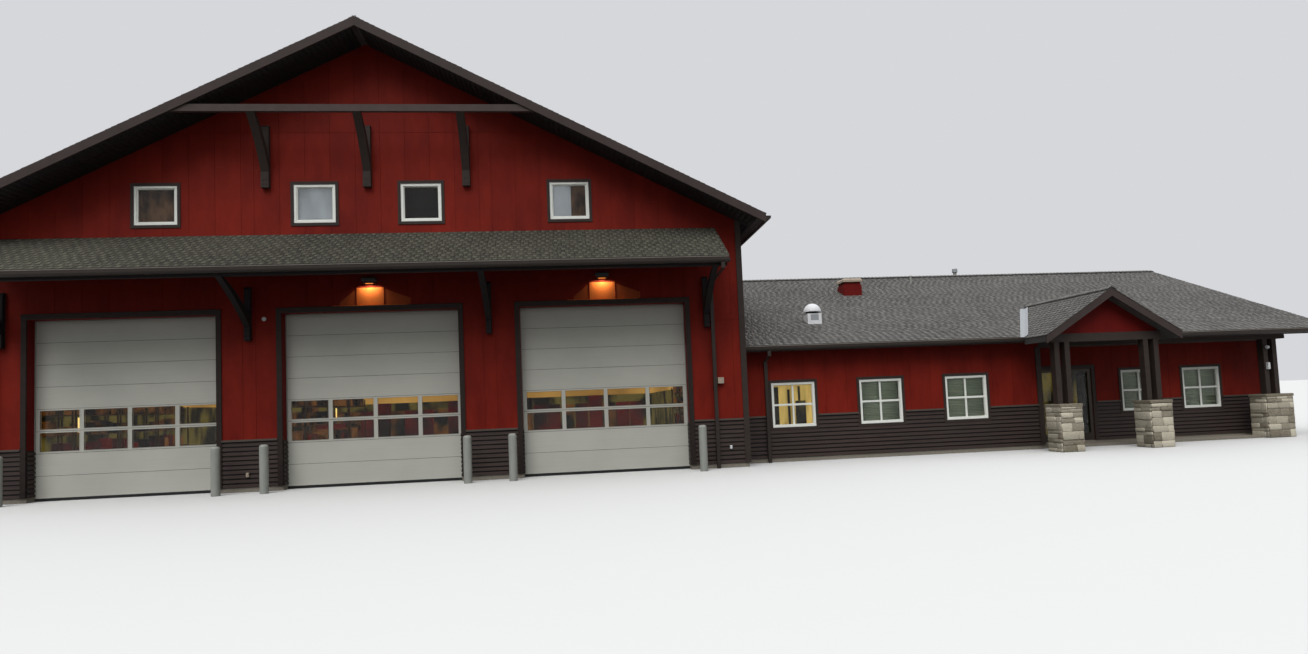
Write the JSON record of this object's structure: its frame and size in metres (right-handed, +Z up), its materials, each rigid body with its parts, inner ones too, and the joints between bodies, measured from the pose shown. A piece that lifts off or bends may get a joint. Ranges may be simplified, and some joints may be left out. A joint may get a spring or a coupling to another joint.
{
  "type": "fire station building",
  "caption": "Gabled apparatus hall with overhead doors under a pent roof, with a low office wing, covered porch and entry gable.",
  "frame": {"origin": "on the ground, at the underside of the hall's floor, under the middle of the hall's plan", "axes": "+X to the right along the front, +Y from the front into the building, +Z up"},
  "size_m": [37.259, 24.206, 11.395],
  "materials": {
    "bronze_metal": "bronze anodised look",
    "cap_trim": "brown-grey paint",
    "concrete": "cast concrete, damp",
    "dark_siding": "dark brown lap boards",
    "dark_timber": "dark brown paint",
    "door_steel": "white enamel on ribbed steel",
    "galvanised": "dull galvanised",
    "glass": "clear",
    "gutter_metal": "dark brown enamel",
    "red_siding": "painted fibre-cement panels",
    "rubber": "matt",
    "shingles": "mineral-faced asphalt shingles",
    "stone": "split-faced ledge stone",
    "tan_metal": "tan enamel",
    "white_metal": "white enamel",
    "white_vinyl": "satin"
  },
  "bodies": {
    "root": {"bay_lights": "bronze_metal", "bollards": "galvanised", "box_vent": "red_siding", "box_vent_cap": "tan_metal", "collar_beam": "dark_timber", "dome_vent": "white_metal", "door_glass": "glass", "door_head_trims": "dark_timber", "door_seals": "rubber", "door_side_trims": "dark_timber", "downspouts": "gutter_metal", "eave_fascias": "dark_timber", "entry_door": "bronze_metal", "entry_door_glass": "glass", "entry_gable_wall": "red_siding", "entry_roof_left": "shingles", "entry_roof_right": "shingles", "footings": "concrete", "gable_brackets": "dark_timber", "gutters": "gutter_metal", "hall_corner_boards": "dark_timber", "hall_floor": "concrete", "hall_front_gable": "red_siding", "hall_front_piers": "red_siding", "hall_left_wall": "red_siding", "hall_rear_wall": "red_siding", "hall_right_wall": "red_siding", "hall_roof_left": "shingles", "hall_roof_right": "shingles", "left_door": "door_steel", "middle_door": "door_steel", "pent_beam": "dark_timber", "pent_brackets": "dark_timber", "pent_roof": "shingles", "porch_back_wall": "red_siding", "porch_beams": "dark_timber", "porch_ceiling": "dark_timber", "porch_posts": "dark_timber", "porch_return_wall": "red_siding", "rake_boards": "dark_timber", "ridge_caps": "shingles", "right_door": "door_steel", "stone_plinths": "stone", "vent_pipes": "galvanised", "wainscot_boards": "dark_siding", "wainscot_caps": "cap_trim", "window_frames": "white_vinyl", "window_glass": "glass", "window_trims": "dark_timber", "wing_corner_boards": "dark_timber", "wing_end_gable": "red_siding", "wing_end_wall": "red_siding", "wing_floor": "concrete", "wing_front_wall": "red_siding", "wing_rear_wall": "red_siding", "wing_roof_front": "shingles", "wing_roof_rear": "shingles"}
  },
  "joints": []
}
